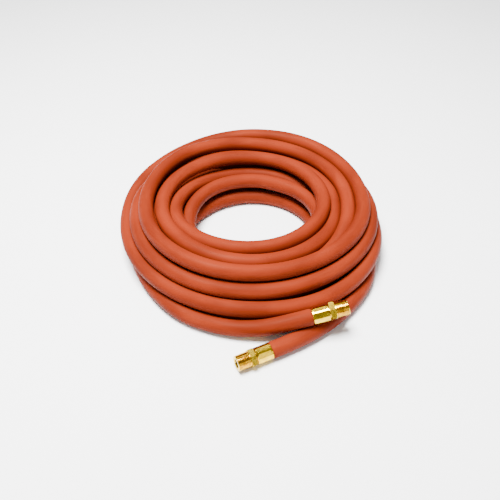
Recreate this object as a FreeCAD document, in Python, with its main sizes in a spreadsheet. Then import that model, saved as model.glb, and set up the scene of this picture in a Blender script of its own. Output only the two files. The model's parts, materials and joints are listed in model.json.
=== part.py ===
import FreeCAD, Part
import Sketcher
import math
import os

from FreeCAD import Placement, Rotation, Vector

# A coiled rubber air hose with a crimped brass male pipe thread on each end, in millimetres.
# Z is up from the floor, the coil's eye is on the Z axis, and both ends come out towards -Y.

doc = FreeCAD.newDocument("air_hose")
os.makedirs("parts", exist_ok=True)

# ---------------------------------------------------------------- driving dimensions

SIZES = [
    ("hose_outside", 28.6, "outside diameter of the hose"),
    ("yarn_outside", 24.8, "outside diameter of the yarn layer"),
    ("liner_outside", 22.8, "outside diameter of the inner tube"),
    ("hose_bore", 19.05, "inside diameter of the hose"),
    ("crimp_outside", 25.6, "outside diameter of the cover under the ferrule"),
    ("crimp_yarn", 23.0, "outside diameter of the yarn layer under the ferrule"),
    ("crimp_liner", 21.6, "outside diameter of the inner tube under the ferrule"),
    ("crimp_squeeze", 3.0, "length over which the hose narrows into the ferrule"),
    ("crimp_depth", 26.5, "how far the hose goes into the ferrule"),
    ("ferrule_outside", 28.6, "outside diameter of the ferrule"),
    ("ferrule_length", 28.5, "length of the ferrule"),
    ("ferrule_edge", 0.7, "chamfer on the ferrule's two rims"),
    ("flat_distance", 13.85, "from the ferrule's axis to a crimp flat"),
    ("flat_count", 8, "number of crimp flats"),
    ("flat_start", 3.2, "where the crimp flats start"),
    ("flat_length", 22.0, "length of the crimp flats"),
    ("flat_overlap", 0.4, "how far the cut of a flat runs past the edge to the next flat"),
    ("cut_margin", 1.0, "how far the outline of a cut stands outside the piece"),
    ("neck_outside", 20.4, "stem neck, gripped by the ferrule's lip"),
    ("neck_gap", 1.2, "open gap between the ferrule and the hex"),
    ("core_outside", 23.6, "plain stem under the hex and at the root of the thread"),
    ("hex_flats", 28.6, "across the flats of the hex"),
    ("hex_length", 9.5, "length of the hex"),
    ("hex_rim", 30.0, "diameter to which the hex's corners are turned down at its faces"),
    ("hex_edge", 2.1, "length of that turned-down edge"),
    ("stem_bore", 15.9, "air way through the stem"),
    ("mouth_flare", 1.4, "chamfer at the mouth of the air way"),
    ("tip_start", 1.6, "from the ferrule's rim to the tip of the shank"),
    ("tip_length", 2.4, "length of the shank's tapered tip"),
    ("tip_wall", 0.8, "wall at the very tip of the shank"),
    ("barb_pitch", 4.2, "from barb to barb"),
    ("barb_ramp", 3.2, "length of a barb's ramp"),
    ("barb_height", 0.5, "how far a barb stands above the shank"),
    ("barb_count", 5, "number of barbs"),
    ("thread_outside", 26.67, "pipe diameter of a 3/4 inch taper pipe thread"),
    ("thread_taper", 10.2, "length that tapers, 1 in 16 on the diameter"),
    ("thread_length", 21.4, "length of the thread"),
    ("thread_relief", 1.2, "plain neck between the hex and the thread"),
    ("thread_pitch", 1.8143, "14 threads to the inch"),
    ("thread_depth", 1.15, "depth of a thread groove"),
    ("thread_width", 1.6, "width of a thread groove at the surface"),
    ("thread_grooves", 11, "number of grooves"),
    ("thread_start", 0.75, "from the relief to the first groove, in pitches"),
    ("groove_lip", 0.2, "how far the outline of a groove stands outside the pipe"),
    ("thread_edge", 0.9, "chamfer at the thread's small end"),
    ("layer_rise", 24.3, "height from one layer of turns to the next"),
    ("web_inset", 4.3, "how far the fill stops short of a layer's edge turns"),
    ("web_drop", 1.2, "how far the fill lies below the top of the turns"),
    ("crown_drop", 5.7, "the same on the top layer, where its turns show"),
]

# Each layer of the coil, from the floor up: the centreline circles of its outermost turn
# and its innermost turn, as radius, centre X and centre Y.
LAYERS = [
    ("floor", (222, 0, 0), (136, 4, -22)),
    ("second", (239, 0, 0), (154, 0, -2)),
    ("third", (223, 9, 4), (136, 3, -9)),
    ("top", (209, 8, 22), (146, 0, 9)),
]
CROWN_TURN = (178, 4, 15)

# The two ends of the hose where they lie clear of the coil. Each point is a corner that an
# arc rounds off, and the last point is where the hose starts to narrow into its ferrule.
FLOOR = 14.3
ROUTES = {
    "front": [
        (222, 0, FLOOR),
        (230, -72, FLOOR),
        (217, -146, FLOOR),
        (164, -220, FLOOR),
        (96, -275, FLOOR),
        (36.5, -303, FLOOR),
    ],
    "side": [
        (-222, -2, FLOOR),
        (-222, -72, FLOOR),
        (-187, -152, FLOOR),
        (-124, -225, FLOOR),
        (-47, -256, FLOOR),
        (11, -263, 19),
        (57, -264, 33),
        (101.5, -256, 42),
    ],
}
ARC_SHARE = 0.45

sheet = doc.addObject("Spreadsheet::Sheet", "Dims")


def circle_sizes(name, circle):
    return [("%s_%s" % (name, what), value, "centreline circle of the %s turn" % name)
            for what, value in zip(("radius", "east", "north"), circle)]


def write_sheet():
    rows = list(SIZES)
    for name, outer, inner in LAYERS:
        rows += circle_sizes(name + "_outer", outer) + circle_sizes(name + "_inner", inner)
    rows += circle_sizes("crown", CROWN_TURN)
    for number, (alias, value, note) in enumerate(rows, start=1):
        sheet.set("A%d" % number, alias)
        sheet.set("B%d" % number, str(value))
        sheet.set("C%d" % number, note)
        sheet.setAlias("B%d" % number, alias)
    doc.recompute()


write_sheet()


def size(alias):
    return float(sheet.get(alias))


# ---------------------------------------------------------------- building blocks


def bind(thing, **expressions):
    """Binds properties to the sheet. In a property's name __ stands for a full stop."""
    for prop, expression in expressions.items():
        thing.setExpression(prop.replace("__", "."), expression)
    return thing


def primitive(kind, name, **expressions):
    return bind(doc.addObject(kind, name), **expressions)


def cut(name, base, tool):
    thing = doc.addObject("Part::Cut", name)
    thing.Base = base
    thing.Tool = tool
    return thing


def fuse(name, shapes):
    thing = doc.addObject("Part::MultiFuse", name)
    thing.Shapes = shapes
    return thing


def plane(body, role):
    return next(f for f in body.Origin.OriginFeatures if f.Role == role)


def new_sketch(body, name, role):
    sketch = body.newObject("Sketcher::SketchObject", name)
    sketch.AttachmentSupport = [(plane(body, role), "")]
    sketch.MapMode = "FlatFace"
    return sketch


def value_of(expression):
    return float(sheet.evalExpression(expression))


def pin_point(sketch, line, corner):
    """Ties the start of a sketch line to the two expressions of a corner."""
    for kind, axis, expression in zip(("DistanceX", "DistanceY"), (-2, -1), corner):
        if expression == "0":
            sketch.addConstraint(Sketcher.Constraint("PointOnObject", line, 1, axis))
            continue
        rule = Sketcher.Constraint(kind, -1, 1, line, 1, value_of(expression))
        number = sketch.addConstraint(rule)
        sketch.setExpression("Constraints[%d]" % number, expression)


def polygon(sketch, corners):
    """A closed outline whose corners are pairs of expressions."""
    points = [Vector(value_of(x), value_of(y), 0) for x, y in corners]
    first = sketch.GeometryCount
    count = len(points)
    for start, end in zip(points, points[1:] + points[:1]):
        sketch.addGeometry(Part.LineSegment(start, end))
    for step in range(count):
        following = first + (step + 1) % count
        sketch.addConstraint(Sketcher.Constraint("Coincident", first + step, 2, following, 1))
    for step, corner in enumerate(corners):
        pin_point(sketch, first + step, corner)


def turn(body, kind, name, outlines):
    """Turns closed outlines of (radius, height) about the body's Z axis."""
    sketch = new_sketch(body, name + "_outline", "XZ_Plane")
    for corners in outlines:
        polygon(sketch, corners)
    feature = body.newObject(kind, name)
    feature.Profile = sketch
    feature.ReferenceAxis = (sketch, ["V_Axis"])
    feature.Angle = 360
    doc.recompute()
    return feature


# ---------------------------------------------------------------- ferrule and stem
# Both are turned about their own Z axis, which starts at the ferrule's rim on the hose's
# side and points to the mouth of the fitting.


def ferrule(end):
    """A thin sleeve over the hose, crimped to flats, with a lip that grips the stem's neck."""
    body = doc.addObject("PartDesign::Body", end + "_ferrule")
    inner = "Dims.crimp_outside / 2"
    outer = "Dims.ferrule_outside / 2"
    outer_edge = "Dims.ferrule_outside / 2 - Dims.ferrule_edge"
    lip = "Dims.neck_outside / 2"
    sleeve = [
        (inner, "0"),
        (outer_edge, "0"),
        (outer, "Dims.ferrule_edge"),
        (outer, "Dims.ferrule_length - Dims.ferrule_edge"),
        (outer_edge, "Dims.ferrule_length"),
        (lip, "Dims.ferrule_length"),
        (lip, "Dims.crimp_depth"),
        (inner, "Dims.crimp_depth"),
    ]
    turn(body, "PartDesign::Revolution", end + "_sleeve", [sleeve])
    before = body.Shape.Volume

    half = "Dims.flat_distance * tan(180 / Dims.flat_count) + Dims.flat_overlap"
    reach = "Dims.ferrule_outside / 2 + Dims.cut_margin"
    sketch = new_sketch(body, end + "_crimp_flat", "XY_Plane")
    bind(sketch, AttachmentOffset__Base__z="Dims.flat_start")
    rectangle = [
        ("Dims.flat_distance", half),
        ("Dims.flat_distance", "-(" + half + ")"),
        (reach, "-(" + half + ")"),
        (reach, half),
    ]
    polygon(sketch, rectangle)
    pocket = body.newObject("PartDesign::Pocket", end + "_crimp")
    pocket.Profile = sketch
    pocket.Reversed = True
    bind(pocket, Length="Dims.flat_length")
    doc.recompute()
    pattern = body.newObject("PartDesign::PolarPattern", end + "_crimps")
    pattern.Originals = [pocket]
    pattern.Axis = (sketch, ["N_Axis"])
    pattern.Angle = 360
    bind(pattern, Occurrences="Dims.flat_count")
    body.Tip = pattern
    doc.recompute()
    print(end, "ferrule: crimp flats take", round(before - body.Shape.Volume, 1), "mm3")
    return body


def stem_profile():
    """Half section of the stem: barbed shank, neck, core under the hex, and thread."""
    bore = "Dims.stem_bore / 2"
    shank = "Dims.hose_bore / 2"
    barb = "Dims.hose_bore / 2 + Dims.barb_height"
    core = "Dims.core_outside / 2"
    pipe = "Dims.thread_outside / 2"
    neck = "Dims.neck_outside / 2"
    barbs_at = "Dims.tip_start + Dims.tip_length"
    hex_at = "Dims.ferrule_length + Dims.neck_gap"
    thread_at = hex_at + " + Dims.hex_length + Dims.thread_relief"
    mouth_at = hex_at + " + Dims.hex_length + Dims.thread_relief + Dims.thread_length"
    small = pipe + " - Dims.thread_taper / 32"

    corners = [(bore, "Dims.tip_start"), (bore + " + Dims.tip_wall", "Dims.tip_start")]
    for number in range(int(size("barb_count"))):
        foot = "%s + %d * Dims.barb_pitch" % (barbs_at, number)
        corners += [(shank, foot), (barb, foot + " + Dims.barb_ramp")]
        corners += [(shank, foot + " + Dims.barb_ramp")]
    corners += [
        (shank, "Dims.crimp_depth"),
        (neck, "Dims.crimp_depth"),
        (neck, hex_at),
        (core, hex_at),
        (core, thread_at),
        (pipe, thread_at),
        (pipe, mouth_at + " - Dims.thread_taper"),
        (small, mouth_at + " - Dims.thread_edge"),
        (small + " - Dims.thread_edge", mouth_at),
        (bore + " + Dims.mouth_flare", mouth_at),
        (bore, mouth_at + " - Dims.mouth_flare"),
    ]
    return corners, hex_at, thread_at, mouth_at


def stem(end):
    """A brass stem: barbs inside the hose, a hex for the spanner, and a taper pipe thread."""
    body = doc.addObject("PartDesign::Body", end + "_stem")
    corners, hex_at, thread_at, mouth_at = stem_profile()
    turn(body, "PartDesign::Revolution", end + "_stem_turned", [corners])

    sketch = new_sketch(body, end + "_hex_outline", "XY_Plane")
    bind(sketch, AttachmentOffset__Base__z=hex_at)
    corner = "Dims.hex_flats / sqrt(3)"
    hexagon = []
    for number in range(6):
        angle = "(%d * 60)" % number
        x = "%s * cos%s" % (corner, angle)
        y = "%s * sin%s" % (corner, angle)
        hexagon.append((x, "0" if number % 3 == 0 else y))
    polygon(sketch, hexagon)
    hole = sketch.addGeometry(Part.Circle(Vector(0, 0, 0), Vector(0, 0, 1), size("stem_bore") / 2))
    sketch.addConstraint(Sketcher.Constraint("Coincident", hole, 3, -1, 1))
    rule = sketch.addConstraint(Sketcher.Constraint("Diameter", hole, size("stem_bore")))
    sketch.setExpression("Constraints[%d]" % rule, "Dims.stem_bore")
    nut = body.newObject("PartDesign::Pad", end + "_hex")
    nut.Profile = sketch
    bind(nut, Length="Dims.hex_length")
    doc.recompute()
    before = body.Shape.Volume

    rim = "Dims.hex_rim / 2"
    past = "Dims.hex_flats / sqrt(3) + Dims.cut_margin"
    low_edge = [(rim, hex_at), (past, hex_at), (past, hex_at + " + Dims.hex_edge")]
    hex_end = hex_at + " + Dims.hex_length"
    high_edge = [(rim, hex_end), (past, hex_end + " - Dims.hex_edge"), (past, hex_end)]
    turn(body, "PartDesign::Groove", end + "_hex_corners", [low_edge, high_edge])
    print(end, "hex: turned corners take", round(before - body.Shape.Volume, 1), "mm3")
    before = body.Shape.Volume

    pipe = "Dims.thread_outside / 2"
    taper_at = mouth_at + " - Dims.thread_taper"
    grooves = []
    for number in range(int(size("thread_grooves"))):
        middle = "%s + (%d + Dims.thread_start) * Dims.thread_pitch" % (thread_at, number)
        fall = "max(0; (%s) - (%s)) / 32" % (middle, taper_at)
        lip = "%s + Dims.groove_lip - %s" % (pipe, fall)
        grooves.append([
            ("%s - Dims.thread_depth - %s" % (pipe, fall), middle),
            (lip, middle + " - Dims.thread_width / 2"),
            (lip, middle + " + Dims.thread_width / 2"),
        ])
    turn(body, "PartDesign::Groove", end + "_thread", grooves)
    print(end, "thread: grooves take", round(before - body.Shape.Volume, 1), "mm3")
    return body


# ---------------------------------------------------------------- hose ends


def rounded_route(name, points):
    """Straight runs joined by tangent arcs, each as large as its two runs allow."""
    corners = [Vector(*point) for point in points]
    edges = []
    radii = []
    here = corners[0]
    for before, corner, after in zip(corners, corners[1:], corners[2:]):
        inward = (before - corner).normalize()
        onward = (after - corner).normalize()
        turned = math.pi - inward.getAngle(onward)
        reach = ARC_SHARE * min((before - corner).Length, (after - corner).Length)
        radius = reach / math.tan(turned / 2)
        radii.append(radius)
        start = corner + inward * reach
        end = corner + onward * reach
        bisector = (inward + onward).normalize()
        middle = corner + bisector * (radius / math.cos(turned / 2) - radius)
        edges.append(Part.LineSegment(here, start).toShape())
        edges.append(Part.Arc(start, middle, end).toShape())
        here = end
    edges.append(Part.LineSegment(here, corners[-1]).toShape())
    wire = Part.Wire(edges)
    in_diameters = [round(radius / size("hose_outside"), 1) for radius in radii]
    print(name, "route: length", round(wire.Length, 1), "radii in diameters", in_diameters)
    path = doc.addObject("Part::Feature", name + "_route")
    path.Shape = wire
    return path


def section(name, path, points, diameter):
    """The solid inside one of the hose's walls, swept along a route."""
    circle = primitive("Part::Circle", name + "_section", Radius=diameter + " / 2")
    heading = Vector(*points[1]) - Vector(*points[0])
    circle.Placement = Placement(Vector(*points[0]), Rotation(Vector(0, 0, 1), heading))
    doc.recompute()
    sweep = doc.addObject("Part::Sweep", name + "_swept")
    sweep.Sections = [circle]
    sweep.Spine = (path, ["Edge%d" % (n + 1) for n in range(len(path.Shape.Edges))])
    sweep.Solid = True
    sweep.Frenet = False
    return sweep


def plug(name, place, free, crimped):
    """The stretch that narrows from one diameter to another and goes into the ferrule."""
    cone = primitive(
        "Part::Cone", name + "_squeeze",
        Radius1=free + " / 2", Radius2=crimped + " / 2", Height="Dims.crimp_squeeze",
    )
    cone.Placement = place * Placement(Vector(0, 0, -size("crimp_squeeze")), Rotation())
    tail = primitive(
        "Part::Cylinder", name + "_crimped",
        Radius=crimped + " / 2", Height="Dims.crimp_depth",
    )
    tail.Placement = place
    return [cone, tail]


WALLS = [
    ("outside", "Dims.hose_outside", "Dims.crimp_outside"),
    ("yarn", "Dims.yarn_outside", "Dims.crimp_yarn"),
    ("liner", "Dims.liner_outside", "Dims.crimp_liner"),
    ("bore", "Dims.hose_bore", "Dims.hose_bore"),
]


def fitting_place(points):
    """Where a fitting lies: on the last run's line, with a flat of its hex facing down."""
    heading = (Vector(*points[-1]) - Vector(*points[-2])).normalize()
    across = Vector(0, 0, 1).cross(heading).normalize()
    up = heading.cross(across)
    turned = Rotation(across, up, heading, "ZXY")
    return Placement(Vector(*points[-1]) + heading * size("crimp_squeeze"), turned)


def hose_end(end, points, stem_body, place):
    """Cover, yarn and inner tube of one hose end, each in its own solid."""
    path = rounded_route(end, points)
    solids = []
    for wall, free, crimped in WALLS:
        name = "%s_%s" % (end, wall)
        parts = [section(name, path, points, free)] + plug(name, place, free, crimped)
        solids.append(fuse(name + "_solid", parts))
    doc.recompute()
    outside, yarn, liner, bore = solids
    layers = [
        cut(end + "_hose_cover", outside, yarn),
        cut(end + "_hose_yarn", yarn, liner),
    ]
    tube = cut(end + "_tube_open", liner, bore)
    layers.append(cut(end + "_hose_liner", tube, stem_body))
    doc.recompute()
    length = path.Shape.Length
    expected = math.pi / 4 * (size("hose_outside") ** 2 - size("yarn_outside") ** 2) * length
    print(end, "cover volume", round(layers[0].Shape.Volume), "of which run", round(expected))
    return layers


# ---------------------------------------------------------------- coil


def turn_ring(name, key, height):
    ring = primitive(
        "Part::Torus", name,
        Radius1="Dims.%s_radius" % key, Radius2="Dims.hose_outside / 2",
        Placement__Base__x="Dims.%s_east" % key, Placement__Base__y="Dims.%s_north" % key,
        Placement__Base__z=height,
    )
    return ring


def disc(name, key, inset, low, thickness):
    return primitive(
        "Part::Cylinder", name,
        Radius="Dims.%s_radius %s" % (key, inset), Height=thickness,
        Placement__Base__x="Dims.%s_east" % key, Placement__Base__y="Dims.%s_north" % key,
        Placement__Base__z=low,
    )


def stack(name, shapes):
    """Fuses shapes one after another, and gives the last fusion the name."""
    whole = shapes[0]
    for number, shape in enumerate(shapes[1:], start=2):
        label = name if number == len(shapes) else "%s_%d" % (name, number)
        joined = doc.addObject("Part::Fuse", label)
        joined.Base = whole
        joined.Tool = shape
        whole = joined
    return whole


def coil():
    """The stacked turns as one closed ring, as wide and as tall as the coil at each layer."""
    layers = []
    last = len(LAYERS) - 1
    for number, (name, outer, inner) in enumerate(LAYERS):
        height = "Dims.hose_outside / 2 + %d * Dims.layer_rise" % number
        outer_turn = turn_ring(name + "_outer_turn", name + "_outer", height)
        inner_turn = turn_ring(name + "_inner_turn", name + "_inner", height)
        drop = "Dims.crown_drop" if number == last else "Dims.web_drop"
        top = "%s + Dims.hose_outside / 2 - %s" % (height, drop)
        low = "0" if number == 0 else "%s - Dims.hose_outside / 2 + Dims.web_drop" % height
        thickness = "%s - (%s)" % (top, low)
        wide = disc(name + "_web_outer", name + "_outer", "- Dims.web_inset", low, thickness)
        hole = disc(name + "_web_inner", name + "_inner", "+ Dims.web_inset", low, thickness)
        web = cut(name + "_web", wide, hole)
        layers.append(stack(name + "_layer", [outer_turn, web, inner_turn]))
    crown = "Dims.hose_outside / 2 + %d * Dims.layer_rise" % last
    crown_turn = turn_ring("crown_turn", "crown", crown)
    layers[-1] = stack("crowned_layer", [layers[-1], crown_turn])
    return stack("hose_coil", layers)


# ---------------------------------------------------------------- assembly

nodes = [coil()]
for end, points in ROUTES.items():
    place = fitting_place(points)
    sleeve = ferrule(end)
    sleeve.Placement = place
    brass = stem(end)
    brass.Placement = place
    nodes += [sleeve, brass]
    nodes += hose_end(end, points, brass, place)
doc.recompute()

for thing in doc.Objects:
    if "Invalid" in thing.State or "Error" in thing.State:
        raise RuntimeError("%s did not compute: %s" % (thing.Name, thing.State))

for node in nodes:
    node.Label = node.Name
    shape = node.Shape
    if shape.isNull() or not shape.isValid() or len(shape.Solids) != 1:
        raise RuntimeError("%s is not one valid solid" % node.Name)
    print(node.Label, "volume", round(shape.Volume), "faces", len(shape.Faces))
    shape.exportStep("parts/%s.step" % node.Label)
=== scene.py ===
import json
import math

import bpy
import numpy as np
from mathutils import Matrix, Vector

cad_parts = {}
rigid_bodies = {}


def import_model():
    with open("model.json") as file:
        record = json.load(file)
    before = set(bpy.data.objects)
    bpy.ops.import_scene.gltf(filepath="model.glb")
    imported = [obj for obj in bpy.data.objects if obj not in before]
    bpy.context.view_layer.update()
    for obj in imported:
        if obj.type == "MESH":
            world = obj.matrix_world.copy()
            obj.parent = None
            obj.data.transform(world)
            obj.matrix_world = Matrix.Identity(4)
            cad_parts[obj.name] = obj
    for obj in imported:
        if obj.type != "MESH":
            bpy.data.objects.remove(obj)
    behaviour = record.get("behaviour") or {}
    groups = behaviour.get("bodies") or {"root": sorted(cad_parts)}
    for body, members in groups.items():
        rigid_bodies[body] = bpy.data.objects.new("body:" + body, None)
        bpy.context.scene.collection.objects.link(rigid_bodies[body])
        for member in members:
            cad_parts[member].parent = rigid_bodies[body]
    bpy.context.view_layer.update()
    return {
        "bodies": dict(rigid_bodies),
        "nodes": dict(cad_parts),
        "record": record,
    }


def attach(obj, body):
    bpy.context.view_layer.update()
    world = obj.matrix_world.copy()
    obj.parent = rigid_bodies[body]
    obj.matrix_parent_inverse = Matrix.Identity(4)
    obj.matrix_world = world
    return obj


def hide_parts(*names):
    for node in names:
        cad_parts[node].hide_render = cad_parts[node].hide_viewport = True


# A coiled rubber air hose with crimped brass ends. Units are metres, in the CAD's frame.

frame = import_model()
ROOT = next(iter(frame["bodies"]))

# ---------------------------------------------------------------- sizes

MM = 0.001
HOSE = 0.0286              # outside diameter of the hose
CRIMPED = 0.0256           # outside diameter where it goes into a ferrule
BORE = 0.01905             # inside diameter of the hose
SQUEEZE = 0.003            # length over which it narrows into a ferrule
INSERTED = 0.0255          # how far it goes into a ferrule
FLOOR_HEIGHT = HOSE / 2    # the centre of a turn that lies on the floor

BORE_RINGS = 25            # rings in the stretch of inner tube that is made at each end
BORE_GAP = 0.0002          # how far it lies within the hose's bore
BORE_CLOSED = 0.0002       # the radius to which its far end narrows
TURN_POINTS = 48           # control points in each turn of the coil
SIDES = 32                 # facets round the hose
BORE_SIDES = 24            # facets round the inner tube
RING_GAP = 0.0064          # between the rings of the hose's mesh
END_RINGS = 14             # rings on each stretch inside a ferrule
END_GAP = 0.0005           # from the line's end to the first of them
CONTACT_GAP = 0.0125       # between the points that are tested for contact
CLAMPED = 8                # points over which the coil's two ends gain their freedom
NEIGHBOURS = 8             # points along the hose that don't count as contact
ROUNDS = 320               # steps in which the turns settle
SEARCH_EVERY = 10          # steps between searches for turns that are close
SEARCH_REACH = 1.25        # how close, in diameters
BLOCK = 200                # points compared with all others at a time
HOLD = 0.01                # share of the way back to its route that a point moves in a step
SAG = 0.00003              # how far a point sinks in a step
PUSH = 0.22                # share of an overlap that each turn is pushed back in a step
FINE_STIFFNESS = 0.3       # how strongly the hose evens out its smallest bends
STIFFNESS = 0.06           # the same for bends four points long

# ---------------------------------------------------------------- route of the hose
# The two free ends, in millimetres, are the points of the CAD's routes.

SIDE_END = [
    (101.5, -256, 42), (57, -264, 33), (11, -263, 19), (-47, -256, 14.3),
    (-124, -225, 14.3), (-187, -152, 14.3), (-222, -72, 14.3), (-222, -2, 14.3),
]
FRONT_END = [
    (222, 0, 14.3), (230, -72, 14.3), (217, -146, 14.3), (164, -220, 14.3),
    (96, -275, 14.3), (36.5, -303, 14.3),
]

# Where each turn of the coil passes, clockwise from above: degrees past the front, then
# distance from the coil's axis and height above the floor, both in hose diameters.
TURNS = [
    [
        (90, 7.75, 0.5), (180, 7.6, 0.5), (225, 6.85, 0.5), (270, 6.75, 0.5), (300, 7.5, 0.5),
        (325, 8.15, 0.5),
    ],
    [(0, 8.05, 0.5), (90, 6.75, 0.5), (180, 6.6, 0.5), (225, 5.9, 0.5), (270, 5.75, 0.5)],
    [
        (0, 6.5, 0.5), (90, 4.95, 0.5), (122, 4.15, 0.5), (180, 3.85, 0.5), (225, 4.25, 0.5),
        (270, 4.9, 0.5),
    ],
    [(0, 5.4, 0.5), (90, 4.5, 1.75), (180, 4.2, 1.85), (225, 4.5, 1.95), (270, 4.9, 2)],
    [
        (0, 5.3, 2.1), (90, 5.45, 1.35), (150, 5.1, 0.6), (180, 5, 0.5), (200, 5.25, 0.75),
        (235, 6.2, 1.3), (270, 7.25, 1.4), (315, 7.6, 1.35),
    ],
    [
        (0, 7, 1.3), (90, 7.35, 1.38), (125, 8.1, 1.4), (180, 8.3, 1.45), (270, 8.45, 1.35),
        (305, 8.8, 1.38), (335, 8.65, 1.4),
    ],
    [
        (0, 8.25, 1.4), (90, 8.45, 1.7), (112, 8.55, 1.95), (145, 8.45, 2.65), (180, 8.35, 3.1),
        (270, 7.6, 3.05),
    ],
    [
        (0, 6.8, 2.95), (60, 7, 3.05), (105, 7.1, 3.25), (135, 7.15, 3.3), (180, 7.15, 3.05),
        (270, 6.68, 2.95),
    ],
    [
        (0, 6.4, 2.1), (90, 6.75, 2.25), (115, 7, 1.5), (140, 7.4, 1.45), (165, 7.7, 2),
        (180, 7.8, 2.28), (270, 8.3, 2.3),
    ],
    [
        (0, 7.5, 2.15), (90, 7.68, 2.3), (115, 7.5, 2.35), (140, 6.9, 2.42), (165, 6.35, 2.4),
        (180, 6.2, 2.38), (270, 5.93, 2.35),
    ],
    [(0, 5.8, 2.88), (90, 6.03, 3.05), (180, 5.4, 3), (270, 5.2, 3)],
    [
        (0, 4.8, 3.05), (90, 5.3, 2.4), (180, 5.15, 1.6), (215, 5.3, 1.5), (240, 5.6, 1.4),
        (270, 6.1, 1.35),
    ],
    [
        (0, 5.9, 1.3), (90, 6.35, 1.38), (125, 6.1, 1.4), (180, 6.6, 1.4), (225, 7.3, 1.3),
        (250, 7.65, 0.75), (270, 7.76, 0.5),
    ],
]


def smooth_through(places, values, at):
    """A smooth curve through the values that never overshoots them."""
    places = np.asarray(places, float)
    values = np.asarray(values, float)
    gaps = np.diff(places)
    rates = np.diff(values) / gaps
    slopes = np.zeros(len(values))
    slopes[0], slopes[-1] = rates[0], rates[-1]
    for i in range(1, len(values) - 1):
        if rates[i - 1] * rates[i] > 0:
            near, far = 2 * gaps[i] + gaps[i - 1], gaps[i] + 2 * gaps[i - 1]
            slopes[i] = (near + far) / (near / rates[i - 1] + far / rates[i])
    i = np.clip(np.searchsorted(places, at, side="right") - 1, 0, len(places) - 2)
    s = (at - places[i]) / gaps[i]
    level = values[i] * (1 + 2 * s) * (1 - s) ** 2 + values[i + 1] * s * s * (3 - 2 * s)
    lean = slopes[i] * s * (1 - s) ** 2 - slopes[i + 1] * s * s * (1 - s)
    return level + gaps[i] * lean


def coil_points():
    """Control points of the coil's turns, from its first pass on the left to its last."""
    stops = [(360 * k + angle, r, z) for k, turn in enumerate(TURNS) for angle, r, z in turn]
    places, radii, heights = zip(*stops)
    step = 360 / TURN_POINTS
    at = np.arange(places[0] + step, places[-1] - step / 2, step)
    radius = smooth_through(places, radii, at) * HOSE
    height = smooth_through(places, heights, at) * HOSE
    angle = np.radians(at)
    return np.stack([-radius * np.sin(angle), -radius * np.cos(angle), height], axis=1)


def spline(name, control):
    """A smooth NURBS curve object with these control points."""
    data = bpy.data.curves.new(name, "CURVE")
    data.dimensions = "3D"
    line = data.splines.new("NURBS")
    line.points.add(len(control) - 1)
    for point, place in zip(line.points, control):
        point.co = (*place, 1.0)
    line.order_u = 3
    line.use_endpoint_u = True
    line.resolution_u = 12
    curve = bpy.data.objects.new(name, data)
    bpy.context.scene.collection.objects.link(curve)
    return curve


def points_on(control):
    """Points read from the NURBS spline with these control points."""
    curve = spline("hose_route", control)
    bpy.context.view_layer.update()
    mesh = bpy.data.meshes.new_from_object(curve)
    places = np.array([v.co[:] for v in mesh.vertices])
    bpy.data.meshes.remove(mesh)
    bpy.data.objects.remove(curve)
    return places


def distances(line):
    """How far along the line each of its points lies."""
    return np.concatenate([[0.0], np.cumsum(np.linalg.norm(np.diff(line, axis=0), axis=1))])


def resampled(line, gap):
    """The same line with evenly spaced points."""
    run = distances(line)
    at = np.linspace(0, run[-1], int(round(run[-1] / gap)) + 1)
    return np.stack([np.interp(at, run, line[:, axis]) for axis in range(3)], axis=1)


def close_pairs(points, reach, skip):
    """Pairs of points nearer than reach that aren't neighbours along the hose."""
    first, second = [], []
    for start in range(0, len(points), BLOCK):
        block = points[start:start + BLOCK]
        gaps = np.linalg.norm(block[:, None, :] - points[None, :, :], axis=2)
        i, j = np.nonzero(gaps < reach)
        keep = j - (i + start) > skip
        first.append(i[keep] + start)
        second.append(j[keep])
    return np.concatenate(first), np.concatenate(second)


def springing(points, reach):
    """How each point has to move for the hose to bend as it does reach points either side."""
    bend = np.zeros_like(points)
    bend[reach:-reach] = (points[:-2 * reach] + points[2 * reach:]) / 2 - points[reach:-reach]
    moves = np.zeros_like(points)
    inner = slice(2 * reach, -2 * reach)
    moves[inner] = bend[inner] - (bend[reach:-3 * reach] + bend[3 * reach:-reach]) / 2
    return moves


def settled(points, free):
    """The turns pushed apart where they would lie in each other, sagging onto those below."""
    home = points.copy()
    points = points.copy()
    for step in range(ROUNDS):
        if step % SEARCH_EVERY == 0:
            first, second = close_pairs(points, HOSE * SEARCH_REACH, skip=NEIGHBOURS)
        gaps = points[first] - points[second]
        lengths = np.linalg.norm(gaps, axis=1)
        overlap = np.clip(HOSE - lengths, 0, None)
        push = gaps * (PUSH * overlap / lengths)[:, None]
        moves = np.zeros_like(points)
        np.add.at(moves, first, push)
        np.add.at(moves, second, -push)
        moves += (home - points) * HOLD
        moves[:, 2] -= SAG
        moves += springing(points, 1) * FINE_STIFFNESS + springing(points, 4) * STIFFNESS
        points += moves * free[:, None]
        points[:, 2] = np.maximum(points[:, 2], FLOOR_HEIGHT)
    return points


def hose_control():
    """The control points of the whole hose, from the side fitting to the front one."""
    side = np.array(SIDE_END) * MM
    front = np.array(FRONT_END) * MM
    coil = coil_points()
    line = resampled(points_on(np.vstack([side, coil, front])), CONTACT_GAP)
    first = np.argmin(np.linalg.norm(line - side[-1], axis=1))
    last = np.argmin(np.linalg.norm(line - front[0], axis=1))
    count = np.arange(len(line))
    free = np.clip(np.minimum(count - first, last - count) / CLAMPED, 0, 1)
    shift = settled(line, free) - line
    nearest = [np.argmin(np.linalg.norm(line - place, axis=1)) for place in coil]
    return np.vstack([side, coil + shift[nearest], front])


# ---------------------------------------------------------------- pieces


def collect(piece):
    """Makes a piece ride on the part's one body."""
    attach(piece, ROOT)


def headings(line):
    """The direction of the line at each of its points."""
    runs = np.diff(line, axis=0)
    ways = np.vstack([runs[:1], runs[:-1] + runs[1:], runs[-1:]])
    return ways / np.linalg.norm(ways, axis=1)[:, None]


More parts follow.
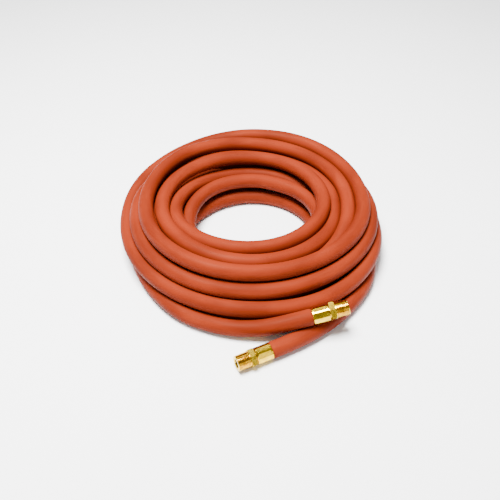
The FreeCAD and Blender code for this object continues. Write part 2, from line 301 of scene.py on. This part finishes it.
def carried_frames(line):
    """Two directions across the line at each point, carried along with no twist."""
    ways = headings(line)
    across = np.cross(ways[0], (0, 0, 1))
    across /= np.linalg.norm(across)
    sideways, upright = [], []
    for way in ways:
        across = across - way * np.dot(across, way)
        across /= np.linalg.norm(across)
        sideways.append(across)
        upright.append(np.cross(way, across))
    return np.array(sideways), np.array(upright)


def tube(name, line, radii, sides, run):
    """A tube round the line. The attribute hose_space holds each point's place on the
    hose laid out straight, so that a material follows the hose."""
    sideways, upright = carried_frames(line)
    turn = np.linspace(0, 2 * math.pi, sides, endpoint=False)
    cosine, sine = np.cos(turn), np.sin(turn)
    spokes = sideways[:, None, :] * cosine[None, :, None]
    spokes += upright[:, None, :] * sine[None, :, None]
    places = line[:, None, :] + spokes * radii[:, None, None]
    rings = len(line)
    corner = np.arange(rings * sides).reshape(rings, sides)
    onward = np.roll(corner, -1, axis=1)
    faces = np.stack([corner[:-1], corner[1:], onward[1:], onward[:-1]], axis=-1).reshape(-1, 4)
    mesh = bpy.data.meshes.new(name)
    mesh.from_pydata(places.reshape(-1, 3).tolist(), [], faces.tolist())
    straight = np.zeros((rings, sides, 3))
    straight[..., 0] = cosine[None, :] * HOSE / 2
    straight[..., 1] = sine[None, :] * HOSE / 2
    straight[..., 2] = run[:, None]
    layer = mesh.attributes.new("hose_space", "FLOAT_VECTOR", "POINT")
    layer.data.foreach_set("vector", straight.reshape(-1))
    mesh.shade_smooth()
    mesh.update()
    piece = bpy.data.objects.new(name, mesh)
    bpy.context.scene.collection.objects.link(piece)
    return piece


def hose_ends(line):
    """The line carried on straight into both ferrules."""
    ways = headings(line)
    reach = np.linspace(END_GAP, SQUEEZE + INSERTED, END_RINGS)
    before = line[0] - ways[0] * reach[::-1, None]
    after = line[-1] + ways[-1] * reach[:, None]
    return np.vstack([before, line, after])


def hose(line):
    """The whole hose, with the squeeze where each end goes into its ferrule."""
    whole = hose_ends(line)
    run = distances(whole)
    inside = np.minimum(run, run[-1] - run)
    squeezed = np.clip((INSERTED + SQUEEZE - inside) / SQUEEZE, 0, 1)
    eased = squeezed * squeezed * (3 - 2 * squeezed)
    radii = HOSE / 2 + (CRIMPED - HOSE) / 2 * eased
    piece = tube("rubber_hose", whole, radii, SIDES, run)
    return piece, whole


def hose_bore(name, line):
    """The inner tube, seen a little way in through the open fitting. Its far end is closed."""
    run = distances(line)
    radii = np.full(len(line), BORE / 2 - BORE_GAP)
    radii[-1] = BORE_CLOSED
    return tube(name, line, radii, BORE_SIDES, run)


# ---------------------------------------------------------------- materials


class Nodes:
    """Short ways to add shader nodes to a material."""

    def __init__(self, name):
        self.material = bpy.data.materials.new(name)
        self.material.use_nodes = True
        self.tree = self.material.node_tree
        self.shader = self.tree.nodes["Principled BSDF"]

    def add(self, kind, **settings):
        node = self.tree.nodes.new(kind)
        for key, value in settings.items():
            setattr(node, key, value)
        return node

    def join(self, source, target):
        self.tree.links.new(source, target)

    def constant(self, **sockets):
        for name, value in sockets.items():
            self.shader.inputs[name.replace("_", " ")].default_value = value

    def noise(self, vector, scale, detail=2.0, roughness=0.5):
        node = self.add("ShaderNodeTexNoise")
        node.inputs["Scale"].default_value = scale
        node.inputs["Detail"].default_value = detail
        node.inputs["Roughness"].default_value = roughness
        self.join(vector, node.inputs["Vector"])
        return node.outputs["Fac"]

    def stretched(self, vector, scale):
        node = self.add("ShaderNodeMapping")
        node.inputs["Scale"].default_value = scale
        self.join(vector, node.inputs["Vector"])
        return node.outputs["Vector"]

    def spread(self, value, low, high, to_low=0.0, to_high=1.0):
        node = self.add("ShaderNodeMapRange", interpolation_type="SMOOTHSTEP")
        for name, number in zip(
            ("From Min", "From Max", "To Min", "To Max"), (low, high, to_low, to_high)
        ):
            node.inputs[name].default_value = number
        self.join(value, node.inputs["Value"])
        return node.outputs["Result"]

    def mixed(self, share, first, second):
        node = self.add("ShaderNodeMix", data_type="RGBA")
        self.join(share, node.inputs["Factor"])
        for name, colour in (("A", first), ("B", second)):
            socket = next(i for i in node.inputs if i.name == name and i.type == "RGBA")
            if isinstance(colour, tuple):
                socket.default_value = (*colour, 1.0)
            else:
                self.join(colour, socket)
        return next(o for o in node.outputs if o.type == "RGBA")

    def math(self, operation, first, second):
        node = self.add("ShaderNodeMath", operation=operation)
        for socket, value in zip(node.inputs, (first, second)):
            if isinstance(value, (int, float)):
                socket.default_value = value
            else:
                self.join(value, socket)
        return node.outputs[0]

    def bump(self, height, distance, strength, under=None):
        node = self.add("ShaderNodeBump")
        node.inputs["Distance"].default_value = distance
        node.inputs["Strength"].default_value = strength
        self.join(height, node.inputs["Height"])
        if under:
            self.join(under, node.inputs["Normal"])
        return node.outputs["Normal"]


RUBBER = (0.150, 0.0163, 0.0044)
RUBBER_DEEP = (0.102, 0.0104, 0.0027)
RUBBER_BLOOM = (0.185, 0.0245, 0.0084)


def rubber_material():
    """Red rubber with a dusty bloom, dark specks, fine grain, shallow dents and rubbed patches."""
    n = Nodes("hose_rubber")
    place = n.add("ShaderNodeAttribute", attribute_name="hose_space").outputs["Vector"]

    clouds = n.noise(n.stretched(place, (1, 1, 0.35)), 28, detail=4)
    colour = n.mixed(n.spread(clouds, 0.32, 0.68), RUBBER_DEEP, RUBBER)
    bloom = n.noise(n.stretched(place, (1, 1, 0.12)), 70, detail=5, roughness=0.6)
    colour = n.mixed(n.spread(bloom, 0.5, 0.78, 0, 0.55), colour, RUBBER_BLOOM)
    specks = n.noise(place, 1900, detail=1)
    colour = n.mixed(n.spread(specks, 0.62, 0.74, 0, 0.35), colour, RUBBER_DEEP)
    n.join(colour, n.shader.inputs["Base Color"])

    rubbed = n.noise(n.stretched(place, (1, 1, 0.2)), 45, detail=3)
    n.join(n.spread(rubbed, 0.35, 0.7, 0.52, 0.7), n.shader.inputs["Roughness"])

    grain = n.noise(place, 1300, detail=3, roughness=0.6)
    normal = n.bump(grain, 0.00012, 0.35)
    dents = n.noise(n.stretched(place, (1, 1, 0.5)), 95, detail=2)
    normal = n.bump(dents, 0.0006, 0.25, under=normal)
    n.join(normal, n.shader.inputs["Normal"])
    n.constant(Specular_IOR_Level=0.06)
    n.shader.inputs["Specular Tint"].default_value = (1.0, 0.62, 0.45, 1.0)
    return n.material


def liner_material():
    """Smooth black inner tube with a slight waviness."""
    n = Nodes("hose_liner")
    place = n.add("ShaderNodeAttribute", attribute_name="hose_space").outputs["Vector"]
    waves = n.noise(place, 160, detail=3)
    colour = n.mixed(waves, (0.008, 0.008, 0.009), (0.02, 0.019, 0.018))
    n.join(colour, n.shader.inputs["Base Color"])
    n.join(n.spread(waves, 0.3, 0.7, 0.38, 0.55), n.shader.inputs["Roughness"])
    n.join(n.bump(waves, 0.0004, 0.4), n.shader.inputs["Normal"])
    return n.material


BRASS = (0.58, 0.355, 0.004)
BRASS_PALE = (0.76, 0.51, 0.02)
BRASS_DULL = (0.24, 0.135, 0.002)


def brass_material(name, axis, polish):
    """Turned brass: tool marks round the fitting's axis, a little dulling, fine scratches."""
    n = Nodes(name)
    place = n.add("ShaderNodeTexCoord").outputs["Object"]
    along = n.add("ShaderNodeVectorMath", operation="DOT_PRODUCT")
    along.inputs[1].default_value = axis
    n.join(place, along.inputs[0])
    marks = n.add("ShaderNodeTexNoise", noise_dimensions="1D")
    marks.inputs["Scale"].default_value = 5200
    marks.inputs["Detail"].default_value = 2
    n.join(along.outputs["Value"], marks.inputs["W"])

    clouds = n.noise(place, 150, detail=4)
    colour = n.mixed(n.spread(clouds, 0.35, 0.7), BRASS, BRASS_PALE)
    stains = n.noise(place, 420, detail=5, roughness=0.65)
    colour = n.mixed(n.spread(stains, 0.6, 0.8, 0, 0.5), colour, BRASS_DULL)
    n.join(colour, n.shader.inputs["Base Color"])

    rough = n.spread(stains, 0.35, 0.75, polish, polish + 0.14)
    n.join(rough, n.shader.inputs["Roughness"])
    normal = n.bump(marks.outputs["Fac"], 0.00006, 0.3)
    dings = n.noise(place, 700, detail=2)
    normal = n.bump(n.spread(dings, 0.25, 0.4), 0.00008, 0.3, under=normal)
    n.join(normal, n.shader.inputs["Normal"])
    n.constant(Metallic=1.0)
    return n.material


def floor_material():
    """A plain pale floor with the faintest unevenness."""
    n = Nodes("pale_floor")
    place = n.add("ShaderNodeTexCoord").outputs["Object"]
    clouds = n.noise(place, 3, detail=2)
    n.join(n.mixed(clouds, (0.93, 0.93, 0.93), (0.96, 0.96, 0.96)), n.shader.inputs["Base Color"])
    n.constant(Roughness=0.75, Specular_IOR_Level=0.2)
    return n.material


# ---------------------------------------------------------------- stage

EYE = (0.0, -30.64 * HOSE, 27.21 * HOSE)
LOOK_DOWN = 43.2           # degrees below level
LENS = 41.2                # focal length in millimetres, on a 36 mm sensor
ROOM_LIGHT = 0.34          # brightness of the surroundings
FLOOR_HALF = 6.0           # half the width of the floor
FLOOR_DROP = 0.0004        # how far the floor lies below the hose

# A strong light overhead, and three weak cards for the brass to reflect: name, place, size
# and power in watts.
LIGHTS = [
    ("key", (-0.3, -0.12, 2.0), (0.9, 0.8), 268),
    ("back_card", (0.0, 1.7, 2.1), (1.8, 0.6), 14),
    ("front_card", (1.3, -1.7, 0.9), (1.6, 1.2), 13),
    ("left_card", (-1.9, -0.9, 1.0), (1.4, 1.2), 8),
]


def add_camera():
    """A camera in front of the coil and above it, looking down at it."""
    data = bpy.data.cameras.new("camera")
    data.lens = LENS
    data.sensor_width = 36
    data.clip_start = 0.01
    camera = bpy.data.objects.new("camera", data)
    camera.location = EYE
    camera.rotation_euler = (math.radians(90 - LOOK_DOWN), 0, 0)
    bpy.context.scene.collection.objects.link(camera)
    bpy.context.scene.camera = camera


def add_light(name, place, size, power):
    """A rectangular light that points at the middle of the coil."""
    data = bpy.data.lights.new(name, "AREA")
    data.shape = "RECTANGLE"
    data.size, data.size_y = size
    data.energy = power
    light = bpy.data.objects.new(name, data)
    light.location = place
    light.rotation_euler = (-Vector(place)).to_track_quat("-Z", "Y").to_euler()
    bpy.context.scene.collection.objects.link(light)


def add_stage():
    """The floor, the pale surroundings and the lights."""
    mesh = bpy.data.meshes.new("floor")
    ways = ((-1, -1), (1, -1), (1, 1), (-1, 1))
    corners = [(x * FLOOR_HALF, y * FLOOR_HALF, 0) for x, y in ways]
    mesh.from_pydata(corners, [], [(0, 1, 2, 3)])
    floor = bpy.data.objects.new("floor", mesh)
    floor.location.z = -FLOOR_DROP
    floor.data.materials.append(floor_material())
    bpy.context.scene.collection.objects.link(floor)

    world = bpy.data.worlds.new("studio")
    world.use_nodes = True
    background = world.node_tree.nodes["Background"]
    background.inputs["Color"].default_value = (1.0, 1.0, 1.0, 1.0)
    background.inputs["Strength"].default_value = ROOM_LIGHT
    bpy.context.scene.world = world
    for name, place, size, power in LIGHTS:
        add_light(name, place, size, power)


# ---------------------------------------------------------------- assembly


def mount(name):
    """The record's mount of this name."""
    return next(m for m in frame["record"]["mounts"] if m["name"] == name)


def finish_brass(end):
    """Turned brass on an end's ferrule and stem, which keep their CAD shapes."""
    axis = mount(end + "_thread")["axis"]
    for piece, polish in (("ferrule", 0.07), ("stem", 0.1)):
        node = frame["nodes"]["%s_%s" % (end, piece)]
        material = brass_material("brass_%s_%s" % (end, piece), axis, polish)
        node.data.materials.clear()
        node.data.materials.append(material)


def place_hose():
    """The hose from end to end, and the inner tube that shows through its open stems."""
    control = hose_control()
    line = resampled(points_on(control), RING_GAP)
    piece, whole = hose(line)
    piece.data.materials.append(rubber_material())
    collect(piece)
    nodes = ["hose_coil"]
    for end in ("front", "side"):
        nodes += ["%s_hose_%s" % (end, wall) for wall in ("cover", "yarn", "liner")]
    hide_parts(*nodes)

    black = liner_material()
    for end, stretch in (("side", whole[:BORE_RINGS]), ("front", whole[::-1][:BORE_RINGS])):
        inner = hose_bore(end + "_hose_bore", stretch)
        inner.data.materials.append(black)
        collect(inner)


add_camera()
place_hose()
finish_brass("front")
finish_brass("side")
add_stage()
